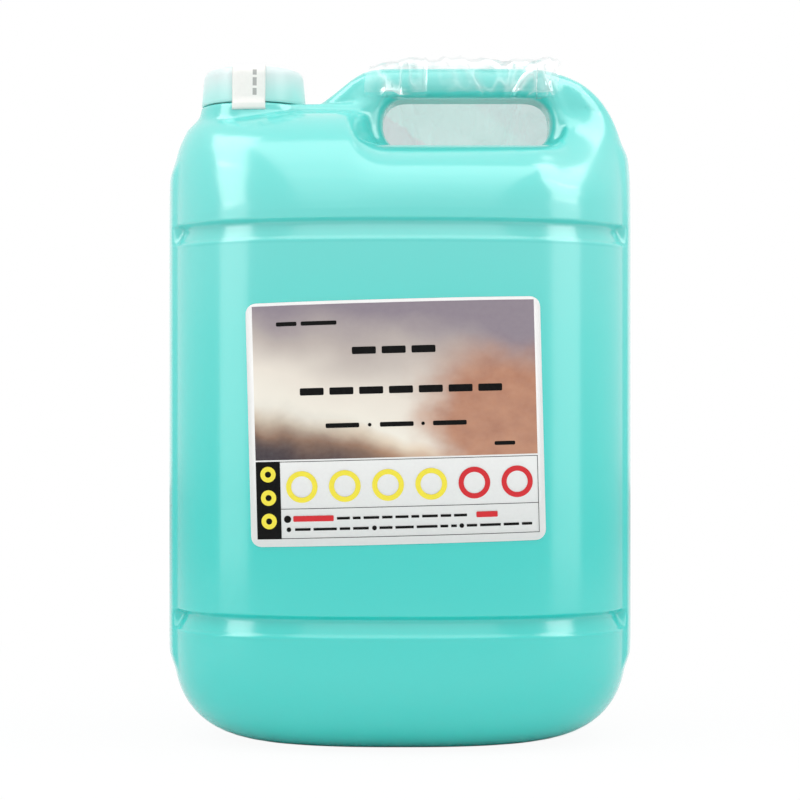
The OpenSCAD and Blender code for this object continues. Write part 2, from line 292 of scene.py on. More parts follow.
def right_end(z):
    if z < BODY_H - RIGHT_RISE:
        return low_half_w(z)
    t = (z - BODY_H + RIGHT_RISE) / RIGHT_RISE
    return HALF_W - RIGHT_RUN * (1 - arc(t, CORNER_POWER))


def left_end(z):
    """The left corner, and above the shelf the slope from the boss up to the grip bar."""
    if z > SHELF_Z:
        t = clamp((z - SHELF_Z) / (BODY_H - SHELF_Z))
        return CAP_X + BOSS_R + 0.1 + SLOPE_RUN * (0.5 - math.sin(math.asin(1 - 2 * t) / 3))
    if z < LEFT_TOP - LEFT_RISE:
        return -low_half_w(z)
    t = (z - LEFT_TOP + LEFT_RISE) / LEFT_RISE
    return -HALF_W + LEFT_RUN * (1 - arc(t, CORNER_POWER))


def grip_half(z):
    start = BODY_H - BAR_ROUND
    if z < start:
        return HALF_GRIP
    return HALF_GRIP - BAR_ROUND + BAR_ROUND * arc((z - start) / BAR_ROUND * 0.98, 2)


def grip_side_half(z):
    if z < SHOULDER_Z:
        return low_half_d(z)
    t = (z - SHOULDER_Z) / (HOLE_Z0 + 0.5 - SHOULDER_Z)
    return grip_half(z) + (HALF_D - HALF_GRIP) * arc(t, GRIP_SIDE_POWER)


def left_side_half(z):
    t = (z - SHOULDER_Z) / (SHELF_Z - BOSS_H - SHOULDER_Z)
    return LEFT_TOP_HALF + (HALF_D - LEFT_TOP_HALF) * arc(t, LEFT_POWER)


def right_side_half(z):
    fall = 1 - smooth((z - RIGHT_FALL_Z0) / (RIGHT_FALL_Z1 - RIGHT_FALL_Z0))
    extra = clamp((RIGHT_FALL_Z1 - z) / (RIGHT_FALL_Z1 - SHOULDER_Z))
    return grip_half(z) + RIGHT_FALL * fall + RIGHT_EXTRA * extra


print("ends at the finger hole's floor:", round(left_end(HOLE_Z0), 1), round(right_end(HOLE_Z0), 1))

# %% [markdown]
# The shoulders beside the finger hole are deeper than the grip, and they drop into a dish
# round each end of the hole. The edge of a dish is an arc round the hole, so the place of the
# step depends on the height.

# %% The dishes beside the finger hole and the squareness of a section
LEFT_STEP_X, LEFT_STEP = HOLE_X0 - 9.5, 5.5
RIGHT_STEP_X, RIGHT_STEP = HOLE_X1 + 4.0, 5.0
STEP_BOW, STEP_SPREAD = 3.5, 3.5
HOLE_MID_Z, HOLE_HALF_H = 250.5, 11.0


def step_share(away, z, reach):
    """0 well outside the edge of a dish and 1 inside it, from the distance inwards."""
    bow = STEP_BOW * min(1.0, abs(z - HOLE_MID_Z) / HOLE_HALF_H) ** 2
    wide = mix(reach, reach + STEP_SPREAD, smooth((HOLE_Z0 + 6 - z) / 16))
    return smooth((away - bow + wide) / (2 * wide))


def grip_share(x, z):
    left = mix(step_share(x - LEFT_STEP_X, z, LEFT_STEP), 1.0, smooth((z - SHELF_Z) / 4))
    return left * step_share(RIGHT_STEP_X - x, z, RIGHT_STEP)


def half_at(x, z):
    if z < SHOULDER_Z:
        return grip_side_half(z)
    beside = left_side_half(z) if x < 0 else right_side_half(z)
    return mix(beside, grip_side_half(z), grip_share(x, z))


def power_at(x, z):
    share = smooth((z - HOLE_Z0 + 9) / 14) * grip_share(x, z)
    return mix(PLAN_POWER, GRIP_POWER, share)


print("half depth beside and at the hole:", round(half_at(RIGHT_STEP_X + 15, HOLE_Z0), 1),
      round(half_at(0, HOLE_Z0), 1))

# %% [markdown]
# Two grooves run round the canister and stop at a raised band on each side, where the mould
# closes. A groove has a steep upper wall, a floor that slopes out and a small lower lip.

# %% Grooves and side bands
GROOVE_H, GROOVE_DEPTH = 9.0, 2.8
GROOVES = (44.5, 197.5)
GROOVE_STEPS = ((0.0, 0.0), (0.03, -0.04), (0.08, -0.08), (0.13, 0.04), (0.2, 0.28),
                (0.45, 0.62), (0.75, 1.0), (0.88, 0.9), (1.0, 0.0))
BAND_PROUD, BAND_LOW, BAND_FADE = 1.5, 28.0, 8.0
LEFT_BAND_HIGH, RIGHT_BAND_HIGH = 234.5, 243.5
BAND_HALF = 25
BAND_ANGLE = math.asin((BAND_HALF / HALF_D) ** (PLAN_POWER / 2))
BAND_EDGE = math.radians(1.5)


def groove_cut(z):
    for start in GROOVES:
        t = (z - start) / GROOVE_H
        if 0 < t < 1:
            for (t0, d0), (t1, d1) in zip(GROOVE_STEPS, GROOVE_STEPS[1:]):
                if t <= t1:
                    return -GROOVE_DEPTH * mix(d0, d1, (t - t0) / (t1 - t0))
    return 0.0


def soft_groove_cut(z, reach=0.45):
    """The groove's depth with its edges rounded off."""
    steps = [-1, -0.6, -0.2, 0.2, 0.6, 1]
    return sum(groove_cut(z + reach * step) for step in steps) / len(steps)


def band_out(z, high):
    low = smooth((z - BAND_LOW) / BAND_FADE)
    return BAND_PROUD * low * (1 - smooth((z - high + BAND_FADE) / BAND_FADE))


def skin_point(angle, z, cut):
    """A point of the skin: its angle round the section, its height and a groove's depth."""
    x0, x1 = left_end(z), right_end(z)
    from_band = math.asin(clamp(abs(math.sin(angle)))) - BAND_ANGLE
    on_band = smooth(0.5 - from_band / (2 * BAND_EDGE))
    inset = cut * (1 - on_band)
    u = sign_pow(math.cos(angle), 2 / PLAN_POWER)
    high = LEFT_BAND_HIGH if u < 0 else RIGHT_BAND_HIGH
    side = math.copysign(on_band * band_out(z, high), u)
    x = (x0 + x1) / 2 + ((x1 - x0) / 2 + inset) * u + side
    y = math.copysign(half_at(x, z) + inset, math.sin(angle)) * arc(abs(u), power_at(x, z))
    return Vector((x, y, z)) * MM


print("the edge of a side band is at", round(math.degrees(BAND_ANGLE), 1), "degrees")

# %% [markdown]
# ## The lower body, ring by ring
# The lower body is made as a potter would: one ring is drawn, then pulled up again and again,
# and each new ring is pushed to its place on the skin. The rings are close together in the
# grooves and in the rolled bottom corner, and wide apart on the plain wall.

# %% Rings of a skin
def ring_angles(step):
    """Angles round a quarter with extra ones at the edge of the side band, mirrored round."""
    edge = math.degrees(BAND_ANGLE)
    quarter = [edge + offset for offset in (-1.6, -1.1, -0.6, -0.2, 0.2, 0.6, 1.1, 1.6)]
    angle = 0.0
    while angle < 90 - step / 2:
        if abs(angle - edge) > 1.6 + step / 3:
            quarter.append(angle)
        angle += step
    quarter = sorted(quarter)
    half = quarter + [90] + [180 - value for value in reversed(quarter[1:])]
    full = half + [180 + value for value in half]
    return [math.radians(value) for value in full]


def start_ring(work, points):
    ring = bmesh.ops.create_circle(work, segments=len(points), radius=1)["verts"]
    for vertex, point in zip(ring, points):
        vertex.co = point
    return ring


def pull_ring(work, ring, points):
    """Extrudes the ring's edges and puts the new ring's vertices on the points."""
    edges = [work.edges.get((ring[i - 1], ring[i])) for i in range(len(ring))]
    made = bmesh.ops.extrude_edge_only(work, edges=edges)["geom"]
    fresh = {item for item in made if isinstance(item, bmesh.types.BMVert)}
    upper = []
    for vertex, point in zip(ring, points):
        twin = next(edge.other_vert(vertex) for edge in vertex.link_edges
                    if edge.other_vert(vertex) in fresh)
        twin.co = point
        upper.append(twin)
    return upper


def close_ring(work, ring):
    work.faces.new(ring)


# %% Heights of the rings
TOP_CUT = 210.5


def spread(start, end, count):
    return [mix(start, end, i / count) for i in range(count)]


def low_heights():
    heights = [SIDE_ROLL_H * t for t in
               (0, .004, .012, .025, .045, .07, .1, .14, .18, .23, .28, .34, .4, .47, .54,
                .61, .68, .75, .82, .89, .95)]
    last = SIDE_ROLL_H - 0.5
    for start in GROOVES:
        heights += spread(last, start - 1.2, max(1, round((start - 1.2 - last) / 6)))
        heights += spread(start - 1.2, start + GROOVE_H + 1.2, 30)
        last = start + GROOVE_H + 1.2
    return heights + spread(last, TOP_CUT, 4) + [TOP_CUT]


print("the lower body takes", len(low_heights()), "rings")

# %% Lower body
ANGLES = ring_angles(2)
PUSH_UP = 2.0
# How far a ring of the base lies inside the foot's outer edge, and how high
BASE_RINGS = ((18, PUSH_UP), (12, PUSH_UP), (10.5, 1.9), (9.2, 1.3), (8, 0.6), (6.8, 0.1),
              (5.5, 0), (2, 0))
BASE_MIDDLE = 31.9


def shrunk(points, by, z):
    """A smaller foot ring inside the first one."""
    across, along = HALF_W - SIDE_ROLL_W, HALF_D - FRONT_ROLL_D
    return [Vector((p.x * (1 - by / across), p.y * (1 - by / along), z * MM)) for p in points]


def make_lower_body():
    work = bmesh.new()
    foot = [skin_point(angle, 0, 0) for angle in ANGLES]
    ring = start_ring(work, shrunk(foot, BASE_MIDDLE, PUSH_UP))
    close_ring(work, list(reversed(ring)))
    for by, z in BASE_RINGS:
        ring = pull_ring(work, ring, shrunk(foot, by, z))
    for z in low_heights():
        points = [skin_point(angle, z, soft_groove_cut(z)) for angle in ANGLES]
        ring = pull_ring(work, ring, points)
    return work


lower_body = make_lower_body()
print("lower body:", len(lower_body.faces), "faces")

# %% [markdown]
# ## The shoulder and the grip
# The top is not a simple stack of rings: a finger hole goes through it, a boss carries the cap
# and all of them melt into each other, as blown plastic does. So the top is first put together
# from plain closed shapes, then a voxel remesh turns them into one even skin, and smoothing
# melts the edges. The smoothing is strong at the hole and the boss and light elsewhere.

# %% Closed shapes of the top
BLOCK_Z = 198.0
HOLE_FLARE = 6.0


def make_upper_block():
    """The shoulder and the grip without the finger hole, from a little below the cut."""
    work = bmesh.new()
    angles = ring_angles(1)
    heights = spread(BLOCK_Z, SHOULDER_Z, 5) + spread(SHOULDER_Z, HOLE_Z0, 24)
    heights += spread(HOLE_Z0, SHELF_Z, 14) + [SHELF_Z]
    heights += [mix(SHELF_Z, BODY_H, t) for t in
                (.005, .02, .05, .1, .15, .22, .3, .38, .46, .54, .62, .7, .78, .85, .9,
                 .94, .97, .99, 1)]
    points = [[skin_point(angle, z, 0) for angle in angles] for z in heights]
    ring = start_ring(work, points[0])
    close_ring(work, list(reversed(ring)))
    for level in points[1:]:
        ring = pull_ring(work, ring, level)
    close_ring(work, ring)
    bmesh.ops.triangulate(work, faces=[face for face in work.faces if len(face.verts) > 4])
    bmesh.ops.recalc_face_normals(work, faces=work.faces)
    return work


def make_hole_cutter():
    """A rounded slot along Y, which flares out at the front and at the back."""
    work = bmesh.new()

    def outline(y, grow):
        points = []
        for corner, (x, z) in enumerate(((HOLE_X1 + grow, HOLE_Z1 + grow / 2),
                                         (HOLE_X0 - grow, HOLE_Z1 + grow / 2),
                                         (HOLE_X0 - grow, HOLE_Z0), (HOLE_X1 + grow, HOLE_Z0))):
            sx, sz = ((-1, -1), (1, -1), (1, 1), (-1, 1))[corner]
            for step in range(9):
                t = math.radians(corner * 90 + step * 90 / 8)
                points.append(Vector((x + sx * HOLE_R + HOLE_R * math.cos(t), y,
                                      z + sz * HOLE_R + HOLE_R * math.sin(t))) * MM)
        return points

    steps = (0, 0.2, 0.4, 0.6, 0.75, 0.87, 0.95, 1)
    front = [(-HALF_GRIP + HOLE_FLARE * (1 - t), HOLE_FLARE * (1 - arc(t, 2))) for t in steps]
    rows = [(-HALF_D - 5, HOLE_FLARE)] + list(reversed(front))
    rows += [(-y, grow) for y, grow in reversed(rows)]
    ring = start_ring(work, outline(*rows[0]))
    close_ring(work, list(reversed(ring)))
    for row in rows[1:]:
        ring = pull_ring(work, ring, outline(*row))
    close_ring(work, ring)
    bmesh.ops.recalc_face_normals(work, faces=work.faces)
    return work


def make_boss():
    """The round boss under the cap, spun from its half section."""
    work = bmesh.new()
    low = SHELF_Z - BOSS_H - BOSS_FLARE
    flare = [(BOSS_R + BOSS_FLARE * (1 - math.cos(t)), SHELF_Z - BOSS_H - BOSS_FLARE * math.sin(t))
             for t in [math.radians(15 * i) for i in range(7)]]
    outline = [(0.01, low - 6), (BOSS_R + BOSS_FLARE, low - 6)] + list(reversed(flare))
    outline += [(BOSS_R, SHELF_Z - 0.5), (BOSS_R - 0.5, SHELF_Z), (0.01, SHELF_Z)]
    return spun(work, outline, CAP_X, 96)


def spun(work, outline, x, count):
    """Spins a half section, given as radius and height in mm, round an upright axis at x."""
    spots = [work.verts.new(((x + r) * MM, 0, z * MM)) for r, z in outline]
    edges = [work.edges.new(pair) for pair in zip(spots, spots[1:])]
    bmesh.ops.spin(work, geom=spots + edges, cent=(x * MM, 0, 0), axis=(0, 0, 1),
                   angle=math.tau, steps=count, use_merge=True)
    bmesh.ops.remove_doubles(work, verts=work.verts, dist=0.012 * MM)
    ends = [edge for edge in work.edges if edge.is_boundary]
    bmesh.ops.holes_fill(work, edges=ends)
    bmesh.ops.recalc_face_normals(work, faces=work.faces)
    return work


print("the finger hole is", HOLE_X1 - HOLE_X0, "mm long and", HOLE_Z1 - HOLE_Z0, "mm high")

# %% Remesh the top into one skin
VOXEL = 1.0 * MM


def make_top():
    block = add_object("upper_block", make_upper_block())
    cutter = add_object("hole_cutter", make_hole_cutter())
    cut = block.modifiers.new("hole", "BOOLEAN")
    cut.operation = "DIFFERENCE"
    cut.solver = "EXACT"
    cut.object = cutter
    settle(block)
    work = bmesh.new()
    work.from_mesh(block.data)
    boss = bpy.data.meshes.new("boss")
    boss_work = make_boss()
    boss_work.to_mesh(boss)
    boss_work.free()
    work.from_mesh(boss)
    whole = add_object("whole_top", work)
    remesh = whole.modifiers.new("skin", "REMESH")
    remesh.mode = "VOXEL"
    remesh.voxel_size = VOXEL
    settle(whole)
    work = bmesh.new()
    work.from_mesh(whole.data)
    for scrap in (block, cutter, whole):
        bpy.data.objects.remove(scrap)
    return work


top = make_top()
print("remeshed top:", len(top.faces), "faces")


# %% Melt the edges of the top
MELT_Z = 200 * MM


def melt(work, chosen, rounds, strength=0.5):
    for _ in range(rounds):
        bmesh.ops.smooth_vert(work, verts=chosen, factor=strength, use_axis_x=True,
                              use_axis_y=True, use_axis_z=True)


def near_hole(point):
    x, z = point.x / MM, point.z / MM
    return HOLE_X0 - 12 < x < HOLE_X1 + 12 and z > HOLE_Z0 - 8 and abs(point.y) < 26 * MM


def near_boss(point):
    x, z = point.x / MM - CAP_X, point.z / MM
    distance = math.hypot(x, point.y / MM)
    return distance < BOSS_R + 14 and z < SHELF_Z - 1.5


free = [vertex for vertex in top.verts if vertex.co.z > MELT_Z]
melt(top, free, 4)
melt(top, [vertex for vertex in free if near_hole(vertex.co)], 9)
melt(top, [vertex for vertex in free if near_boss(vertex.co)], 10)
melt(top, free, 2)
print("melted vertices:", len(free))

# %% [markdown]
# The top is cut off level just above the upper groove, and a bridge of faces joins its edge
# to the last ring of the lower body. Both sides of the bridge lie on the same upright wall,
# so it can't be seen.

# %% Join the top to the lower body
def open_edges(work):
    return [edge for edge in work.edges if edge.is_boundary]


def join_top(lower, upper):
    cut_z = (TOP_CUT + 0.8) * MM
    geometry = list(upper.verts) + list(upper.edges) + list(upper.faces)
    bmesh.ops.bisect_plane(upper, geom=geometry, plane_co=(0, 0, cut_z), plane_no=(0, 0, 1),
                           clear_inner=True)
    scrap = bpy.data.meshes.new("scrap")
    upper.to_mesh(scrap)
    upper.free()
    lower.from_mesh(scrap)
    bpy.data.meshes.remove(scrap)
    bmesh.ops.bridge_loops(lower, edges=open_edges(lower))
    bmesh.ops.recalc_face_normals(lower, faces=lower.faces)
    return lower


canister_work = join_top(lower_body, top)
print("canister skin:", len(canister_work.faces), "faces,",
      len(open_edges(canister_work)), "open edges")

# %% [markdown]
# ## Mint plastic
# The canister is blown from dyed polyethylene. It is glossy but not as sharp as glass, a
# little light goes into it and comes out again, and where the mould halves met a fine line
# runs up the sides. Its colour is paler towards the top: partly because there is air and not
# liquid behind the wall there, and partly as painted light, a brighter top and a darker bottom.
# Blown plastic is never quite flat, so a very low, wide bump breaks up the highlights.

# %% Finish of the canister
mint = Finish("mint_plastic", Roughness=0.16, IOR=1.5, Specular_IOR_Level=1.0,
              Coat_Weight=0.35, Coat_Roughness=0.1, Subsurface_Weight=0.18,
              Subsurface_Radius=(0.35, 1.0, 0.9), Subsurface_Scale=0.004)
x, y, z, spot = mint.place()
# The base colour gets paler towards the top: partly the air-filled top, partly painted light, a
# brighter top and darker bottom.
height = mint.fade(z, 0.02, 0.25)
cloud = mint.noise(spot, 14, 3)
share = mint.fade(height + (cloud - 0.5) * 0.05, 0, 1)
colour = mint.node("ShaderNodeValToRGB", {"ramp": (
    (0.0, (0.014, 0.575, 0.525)), (0.35, (0.032, 0.590, 0.540)), (0.75, (0.060, 0.610, 0.560)),
    (1.0, (0.110, 0.625, 0.580)))}, {"Fac": share})
mint.put(mint.shader.inputs["Base Color"], colour)
ripple = mint.noise(spot, 22, 2) * 0.5 + mint.noise(spot, 420, 2) * 0.012
from_middle = mint.node("ShaderNodeMath", {"operation": "ABSOLUTE"}, {0: y})
seam = 1 - mint.fade(from_middle, 0.0001, 0.0005)
mint.emboss(ripple + seam * 0.3, 0.0006)
mint.put(mint.shader.inputs["Roughness"], 0.13 + mint.noise(spot, 35, 3) * 0.07)

canister = add_object("canister_skin", canister_work, mint)
hand_over(canister, "body_plastic", "canister_body")

# %% [markdown]
# ## The screw cap
# The cap is a shallow cup with a rounded upper edge, moulded in a pale plastic that lets a
# little of the mint below show through. It is spun from a half section that goes down the
# outside, round the rim and up the inside, so that its wall is real.

# %% Screw cap
CAP_Z, CAP_TOP, CAP_R, CAP_TOP_R, CAP_ROUND, CAP_WALL = 257.2, 272.0, 21.3, 20.4, 4.0, 1.6


def cap_section():
    middle, high = CAP_TOP_R - CAP_ROUND, CAP_TOP - CAP_ROUND
    section = [(0, CAP_TOP), (middle * 0.5, CAP_TOP), (middle * 0.9, CAP_TOP)]
    for step in range(10):
        t = math.radians(90 - 10 * step)
        section.append((middle + CAP_ROUND * math.cos(t), high + CAP_ROUND * math.sin(t)))
    section += [(mix(CAP_TOP_R, CAP_R, t), mix(high, CAP_Z + 0.5, t)) for t in (0.3, 0.6, 0.9)]
    section += [(CAP_R, CAP_Z + 0.4), (CAP_R - 0.15, CAP_Z + 0.08), (CAP_R - 0.5, CAP_Z)]
    inner = CAP_TOP_R - CAP_WALL
    section += [(inner + 0.3, CAP_Z), (inner, CAP_Z + 0.3), (inner, CAP_TOP - CAP_WALL - 1)]
    return section + [(inner - 1, CAP_TOP - CAP_WALL), (0, CAP_TOP - CAP_WALL)]


pale = Finish("pale_cap_plastic", Roughness=0.3, IOR=1.5, Subsurface_Weight=0.5,
              Subsurface_Radius=(0.8, 1.0, 1.0), Subsurface_Scale=0.006)
x, y, z, spot = pale.place()
through = 1 - pale.fade(z + (pale.noise(spot, 60, 2) - 0.5) * 0.004, 0.256, 0.271)
pale.put(pale.shader.inputs["Base Color"],
         pale.blend(through, (0.66, 0.81, 0.80), (0.38, 0.78, 0.73)))
pale.emboss(pale.noise(spot, 60, 2) * 0.4 + pale.noise(spot, 900, 2) * 0.03, 0.0004)
cap = add_object("screw_cap_shell", spun(bmesh.new(), cap_section(), CAP_X, 128), pale)
hand_over(cap, "cap_plastic", "screw_cap")

# %% [markdown]
# The liner is a foam disc pressed into the cap. It can't be seen on a closed pack, so its CAD
# solid stays and only gets a finish.

# %% Liner
foam = Finish("liner_foam", Roughness=0.85)
spot = foam.place()[3]
cells = foam.node("ShaderNodeTexVoronoi", {}, {"Vector": spot, "Scale": 1400.0})
foam.put(foam.shader.inputs["Base Color"],
         foam.blend(cells, (0.86, 0.87, 0.84), (0.70, 0.72, 0.69)))
foam.emboss(cells, 0.0002)
liner = frame["nodes"]["cap_liner"]
liner.data.materials.clear()
liner.data.materials.append(foam.material)
print("liner finished")

# %% [markdown]
# ## The paper seal
# A narrow strip of glossy paper is glued over the cap and down to the boss on both sides. It
# is a flat ribbon, so it starts as one row of edges that is pulled along the cap's outline.
# Each cross row is laid on the round wall, and the strip stands off a little at the rim.

# %% Seal strip
STRIP_W, STRIP_T, STRIP_SHIFT = 13.3, 0.25, -0.8
STRIP_FLAT_R = 14.6
# Heights and sides of the grey bars on the front tail, in metres
SEAL_BARS = ((0.2596, 0.2624), (0.2634, 0.2668), (0.2678, 0.2700))
SEAL_BAR_X0, SEAL_BAR_X1 = -0.0592, -0.0576


def strip_outline():
    """Half of the strip's path as radius and height, from the top's middle to a tail's end."""
    path = [(r, CAP_TOP) for r in (0, 3, 6, 9, 12, 14.5)]
    middle, high = CAP_TOP_R - CAP_ROUND, CAP_TOP - CAP_ROUND
    for step in range(1, 10):
        t = math.radians(90 - 10 * step)
        path.append((middle + CAP_ROUND * math.cos(t), high + CAP_ROUND * math.sin(t)))
    path += [(mix(CAP_TOP_R, CAP_R, t), mix(high, CAP_Z, t)) for t in (0.2, 0.4, 0.6, 0.8, 1)]
    path += [(BOSS_R - 0.1, SHELF_Z), (BOSS_R, SHELF_Z - 1), (BOSS_R + 0.05, SHELF_Z - 2.1),
             (BOSS_R, SHELF_Z - 3.2)]
    return path


def strip_point(across, radius, z, side):
    reach = math.sqrt(max(radius * radius - across * across, 0))
    y = side * (radius if radius < STRIP_FLAT_R else reach)
    return Vector((CAP_X + across, y, z)) * MM


def make_strip():
    work = bmesh.new()
    path = strip_outline()
    rows = [(r, z, -1) for r, z in reversed(path)] + [(r, z, 1) for r, z in path[1:]]
    spots = []
    count = 14
    low_x, high_x = STRIP_SHIFT - STRIP_W / 2, STRIP_SHIFT + STRIP_W / 2
    for step in range(count + 1):
        spots.append(work.verts.new(strip_point(mix(low_x, high_x, step / count), *rows[0])))
    line = [work.edges.new(pair) for pair in zip(spots, spots[1:])]
    for row in rows[1:]:
        made = bmesh.ops.extrude_edge_only(work, edges=line)["geom"]
        line = [item for item in made if isinstance(item, bmesh.types.BMEdge)
                and all(vert in made for vert in item.verts)]
        fresh = [item for item in made if isinstance(item, bmesh.types.BMVert)]
        fresh.sort(key=lambda vert: vert.co.x)
        for step, vert in enumerate(fresh):
            vert.co = strip_point(mix(low_x, high_x, step / count), *row)
    bmesh.ops.recalc_face_normals(work, faces=work.faces)
    if sum(face.normal.z for face in work.faces) < 0:
        bmesh.ops.reverse_faces(work, faces=work.faces)
    return work


seal_paper = Finish("seal_paper", Roughness=0.42, IOR=1.45)
x, y, z, spot = seal_paper.place()
fibre = seal_paper.noise(spot, 700, 3)
white = seal_paper.blend(fibre, (0.82, 0.82, 0.79), (0.77, 0.77, 0.74))
marks = 0.0
for low, high in SEAL_BARS:
    inside = (x > SEAL_BAR_X0) * (x < SEAL_BAR_X1) * (z > low) * (z < high) * (y < 0)
    marks = inside + marks
seal_paper.put(seal_paper.shader.inputs["Base Color"],
               seal_paper.blend(marks * 0.6, white, (0.12, 0.13, 0.13)))
seal_paper.emboss(fibre * 0.4 + seal_paper.noise(spot, 90, 2), 0.00015)
strip = add_object("seal_strip_paper", make_strip(), seal_paper)
wall = strip.modifiers.new("paper", "SOLIDIFY")
wall.thickness = STRIP_T * MM
wall.offset = 1
settle(strip)
hand_over(strip, "seal_paper", "seal_strip")

# %% [markdown]
# ## The label
# The label is printed paper, stuck on the front by hand and so a little crooked. It starts as
# one flat face with rounded corners, is sliced into narrow strips so that it can bend, and is
# then laid on the curved wall. Its flat coordinates are kept in a UV map for the print.

# %% Flat shapes laid on the front wall
LABEL_W, LABEL_H, LABEL_X, LABEL_Z, LABEL_TILT = 113.5, 93.8, -1.7, 128.2, math.radians(1.5)
LABEL_MARGIN, TOP_MARGIN, LOW_MARGIN = 2.4, 1.2, 2.9
PANEL_H, BLACK_W, MARK_H = 30.4, 9.5, 16.0
PAPER_LOW, PAPER_HIGH = 0.05, 0.30


def front_y(x):
    return -HALF_D * arc(abs(x) / HALF_W, PLAN_POWER)


def lay_on_wall(across, up, off):
    """A point of the flat label, in its own frame, put on the curved wall."""
    x = LABEL_X + across * math.cos(LABEL_TILT) - up * math.sin(LABEL_TILT)
    z = LABEL_Z + across * math.sin(LABEL_TILT) + up * math.cos(LABEL_TILT)
    return Vector((x, front_y(x) - off, z)) * MM


def slice_and_lay(work, off, pitch=2.0):
    """Slices flat faces that were drawn in X and Z, keeps their UVs and lays them down."""
    edge = LABEL_W / 2
    count = int(2 * edge / pitch)
    for step in range(1, count):
        everything = list(work.verts) + list(work.edges) + list(work.faces)
        bmesh.ops.bisect_plane(work, geom=everything, plane_no=(1, 0, 0),
                               plane_co=(mix(-edge, edge, step / count), 0, 0))
    uv = work.loops.layers.uv.new("flat")
    for face in work.faces:
        for loop in face.loops:
            loop[uv].uv = (loop.vert.co.x / LABEL_W + 0.5, loop.vert.co.z / LABEL_H + 0.5)
    for vertex in work.verts:
        vertex.co = lay_on_wall(vertex.co.x, vertex.co.z, off)
    bmesh.ops.recalc_face_normals(work, faces=work.faces)
    if sum(face.normal.y for face in work.faces) > 0:
        bmesh.ops.reverse_faces(work, faces=work.faces)
    return work


def flat_box(work, x0, x1, z0, z1, radius=0.0):
    """A flat rectangle in the label's own frame, in mm, with rounded corners."""
    corners = [work.verts.new(spot) for spot in
               ((x0, 0, z0), (x1, 0, z0), (x1, 0, z1), (x0, 0, z1))]
    work.faces.new(corners)
    if radius:
        bmesh.ops.bevel(work, geom=corners, offset=radius, offset_type="OFFSET", segments=6,
                        profile=0.5, affect="VERTICES", material=-1)


print("label in mm:", LABEL_W, "wide and", LABEL_H, "high")

# %% Finish of the label's bare paper
paper = Finish("label_paper", Roughness=0.38, IOR=1.45)
spot = paper.place()[3]
fibre = paper.noise(spot, 800, 3)
paper.put(paper.shader.inputs["Base Color"],
          paper.blend(fibre, (0.86, 0.86, 0.85), (0.81, 0.81, 0.80)))
paper.emboss(fibre * 0.3 + paper.noise(spot, 60, 2), 0.0001)
work = bmesh.new()
flat_box(work, -LABEL_W / 2, LABEL_W / 2, -LABEL_H / 2, LABEL_H / 2, 4.0)
label = add_object("front_label_paper", slice_and_lay(work, PAPER_LOW), paper)
wall = label.modifiers.new("paper", "SOLIDIFY")
wall.thickness = (PAPER_HIGH - PAPER_LOW) * MM
wall.offset = 1
settle(label)
hand_over(label, "label_paper", "front_label")

# %% [markdown]
# ## What is printed on the label
# Each ink is a thin piece of its own on the paper, as in the CAD model, so its edges are
# sharp. The picture field is a soft pattern of wide waves in cream, grey and copper, with
# plain dark bars where a pack like this has its lines of print. The row under it has four
# yellow and two red rings and a black strip.

# %% Layout of the print
INNER_W = LABEL_W - 2 * LABEL_MARGIN
LOW_Z, HIGH_Z = -LABEL_H / 2 + LOW_MARGIN, LABEL_H / 2 - TOP_MARGIN
PICTURE_Z0 = LOW_Z + PANEL_H
PANEL_X0 = -INNER_W / 2 + BLACK_W
MARK_PITCH = (INNER_W - BLACK_W) / 6
MARK_Z = PICTURE_Z0 - MARK_H / 2 - 2.5
INK_STEP = 0.03
INK_OFF = PAPER_HIGH + INK_STEP
RING_OUTER, RING_INNER = 6.1, 4.1
RULE_T = 0.22
print("the print goes from", round(LOW_Z, 1), "to", round(HIGH_Z, 1), "mm round the label's middle")


def ink_piece(name, work, off, finish, slot, *nodes):
    piece = add_object(name, slice_and_lay(work, off), finish)
    hand_over(piece, slot, *nodes)


# %% Picture field
picture = Finish("picture_print", Roughness=0.42, IOR=1.45, Specular_IOR_Level=0.15)
u, v, flat = picture.flat_place()
warp = (picture.noise(flat, 1.6, 3) - 0.5) * 0.55
wave = v * 0.95 + u * 0.28 + warp
tones = picture.node("ShaderNodeValToRGB", {"ramp": (
    (0.24, (0.035, 0.026, 0.028)), (0.36, (0.17, 0.095, 0.065)), (0.47, (0.56, 0.32, 0.19)),
    (0.53, (0.78, 0.66, 0.52)), (0.58, (0.82, 0.78, 0.69)), (0.72, (0.76, 0.70, 0.62)),
    (0.86, (0.47, 0.41, 0.38)), (1.0, (0.25, 0.21, 0.25)))}, {"Fac": wave})
patchy = picture.noise(flat, 3.1, 4) - 0.5
upper = picture.fade(v + patchy * 0.3, 0.66, 0.86)
aside = picture.fade(u + patchy * 0.5, 0.52, 0.78) * (1 - upper)
copper = picture.blend(picture.noise(flat, 14, 3), (0.54, 0.26, 0.15), (0.32, 0.12, 0.07))
low = 1 - picture.fade(u * 0.5 + v * 1.2 + patchy * 0.35, 0.5, 0.78)
field = picture.blend(aside * 0.95, tones, copper)
field = picture.blend(low * 0.92, field, (0.03, 0.024, 0.036))
grain = picture.noise(flat, 45, 4)
field = picture.blend(grain * 0.07, field, (0.80, 0.77, 0.72))
picture.put(picture.shader.inputs["Base Color"], field)
work = bmesh.new()
flat_box(work, -INNER_W / 2, INNER_W / 2, PICTURE_Z0, HIGH_Z)
ink_piece("label_picture_field", work, INK_OFF, picture, "picture_print", "label_picture")

